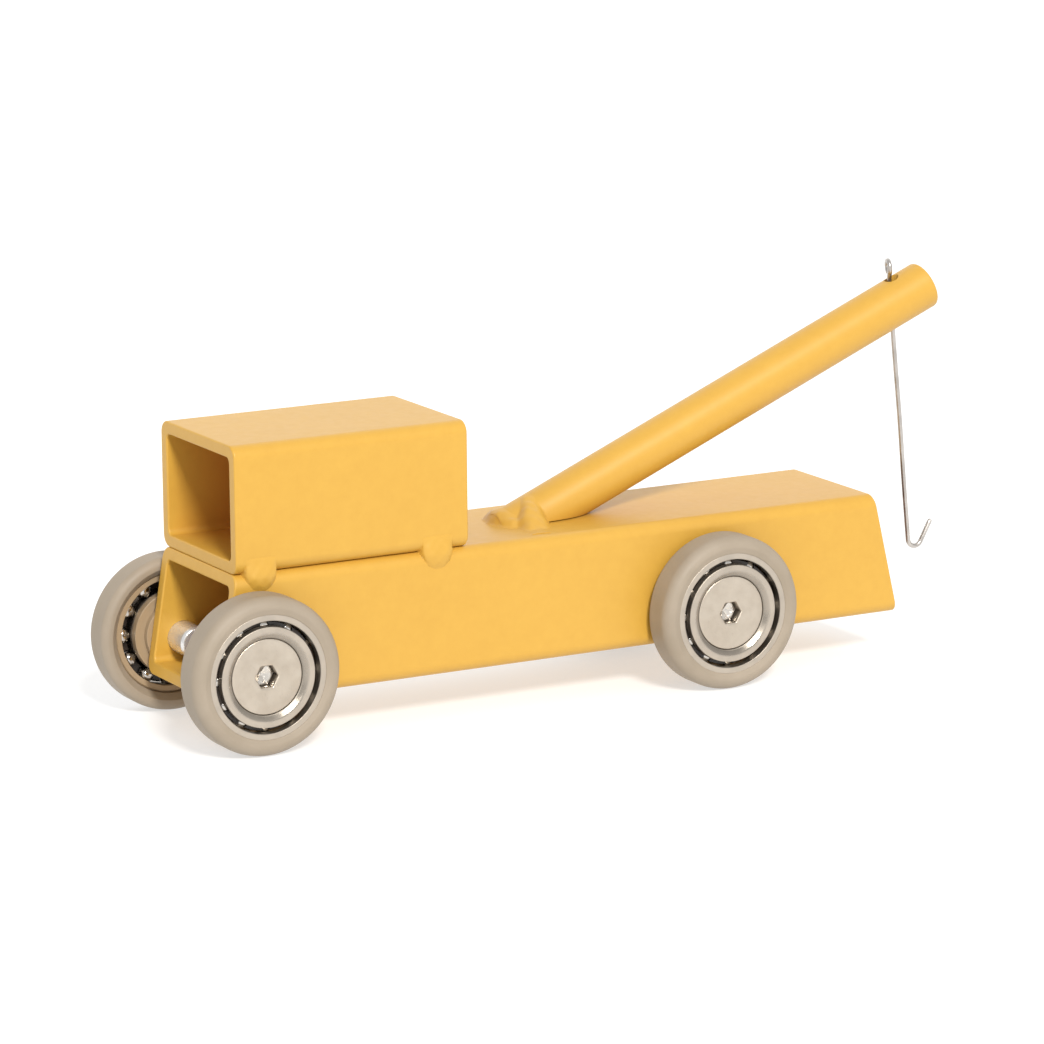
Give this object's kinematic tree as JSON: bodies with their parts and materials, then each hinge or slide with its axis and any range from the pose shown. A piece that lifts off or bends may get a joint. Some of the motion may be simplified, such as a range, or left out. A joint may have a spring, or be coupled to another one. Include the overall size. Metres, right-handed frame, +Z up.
{
  "type": "toy tow truck",
  "caption": "Toy tow truck of welded steel tube with an open cab, a leaning round boom, a hanging wire hook and ball-bearing wheels on countersunk screws.",
  "frame": {"origin": "on the ground, at the middle of the overall length and width", "axes": "+X forward towards the cab's open front, +Y to the truck's left, +Z up"},
  "size_m": [0.2209, 0.0606, 0.0965],
  "materials": {
    "painted_steel": "smooth satin powder coat, golden yellow",
    "bearing_steel": "turned, satin",
    "ball_steel": "polished",
    "screw_steel": "zinc plated, satin",
    "hook_wire": "drawn wire",
    "tyre_rubber": "matt beige-grey",
    "cage_plastic": "moulded, greasy"
  },
  "bodies": {
    "chassis": {"chassis_tube": "painted_steel", "cab_tube": "painted_steel", "boom": "painted_steel", "cab_welds": "painted_steel", "boom_weld": "painted_steel", "inner_race_front_left": "bearing_steel", "axle_screw_front_left": "screw_steel", "spacer_washer_front_left": "screw_steel", "inner_race_front_right": "bearing_steel", "axle_screw_front_right": "screw_steel", "spacer_washer_front_right": "screw_steel", "inner_race_rear_left": "bearing_steel", "axle_screw_rear_left": "screw_steel", "spacer_washer_rear_left": "screw_steel", "inner_race_rear_right": "bearing_steel", "axle_screw_rear_right": "screw_steel", "spacer_washer_rear_right": "screw_steel"},
    "hook": {"tow_hook": "hook_wire"},
    "wheel_front_left": {"tyre_front_left": "tyre_rubber", "outer_race_front_left": "bearing_steel"},
    "ball_set_front_left": {"balls_front_left": "ball_steel", "ball_cage_front_left": "cage_plastic"},
    "wheel_front_right": {"tyre_front_right": "tyre_rubber", "outer_race_front_right": "bearing_steel"},
    "ball_set_front_right": {"balls_front_right": "ball_steel", "ball_cage_front_right": "cage_plastic"},
    "wheel_rear_left": {"tyre_rear_left": "tyre_rubber", "outer_race_rear_left": "bearing_steel"},
    "ball_set_rear_left": {"balls_rear_left": "ball_steel", "ball_cage_rear_left": "cage_plastic"},
    "wheel_rear_right": {"tyre_rear_right": "tyre_rubber", "outer_race_rear_right": "bearing_steel"},
    "ball_set_rear_right": {"balls_rear_right": "ball_steel", "ball_cage_rear_right": "cage_plastic"}
  },
  "joints": [
    {"name": "wheel_front_left_spin", "type": "hinge", "parent": "chassis", "child": "wheel_front_left", "pos_m": [0.0915, 0.026, 0.019], "axis": [0, 1, 0], "continuous": true},
    {"name": "ball_set_front_left_spin", "type": "hinge", "parent": "chassis", "child": "ball_set_front_left", "pos_m": [0.0915, 0.026, 0.019], "axis": [0, 1, 0], "continuous": true},
    {"name": "wheel_front_right_spin", "type": "hinge", "parent": "chassis", "child": "wheel_front_right", "pos_m": [0.0915, -0.026, 0.019], "axis": [0, 1, 0], "continuous": true},
    {"name": "ball_set_front_right_spin", "type": "hinge", "parent": "chassis", "child": "ball_set_front_right", "pos_m": [0.0915, -0.026, 0.019], "axis": [0, 1, 0], "continuous": true},
    {"name": "wheel_rear_left_spin", "type": "hinge", "parent": "chassis", "child": "wheel_rear_left", "pos_m": [-0.0335, 0.026, 0.019], "axis": [0, 1, 0], "continuous": true},
    {"name": "ball_set_rear_left_spin", "type": "hinge", "parent": "chassis", "child": "ball_set_rear_left", "pos_m": [-0.0335, 0.026, 0.019], "axis": [0, 1, 0], "continuous": true},
    {"name": "wheel_rear_right_spin", "type": "hinge", "parent": "chassis", "child": "wheel_rear_right", "pos_m": [-0.0335, -0.026, 0.019], "axis": [0, 1, 0], "continuous": true},
    {"name": "ball_set_rear_right_spin", "type": "hinge", "parent": "chassis", "child": "ball_set_rear_right", "pos_m": [-0.0335, -0.026, 0.019], "axis": [0, 1, 0], "continuous": true},
    {"name": "hook_swivel", "type": "hinge", "parent": "chassis", "child": "hook", "pos_m": [-0.0976, 0, 0.08485], "axis": [0.0906, 0, 0.9959], "continuous": true}
  ],
  "couplings": [
    {"joint": "ball_set_front_left_spin", "follows": "wheel_front_left_spin", "ratio": 0.5833},
    {"joint": "ball_set_front_right_spin", "follows": "wheel_front_right_spin", "ratio": 0.5833},
    {"joint": "ball_set_rear_left_spin", "follows": "wheel_rear_left_spin", "ratio": 0.5833},
    {"joint": "ball_set_rear_right_spin", "follows": "wheel_rear_right_spin", "ratio": 0.5833}
  ]
}
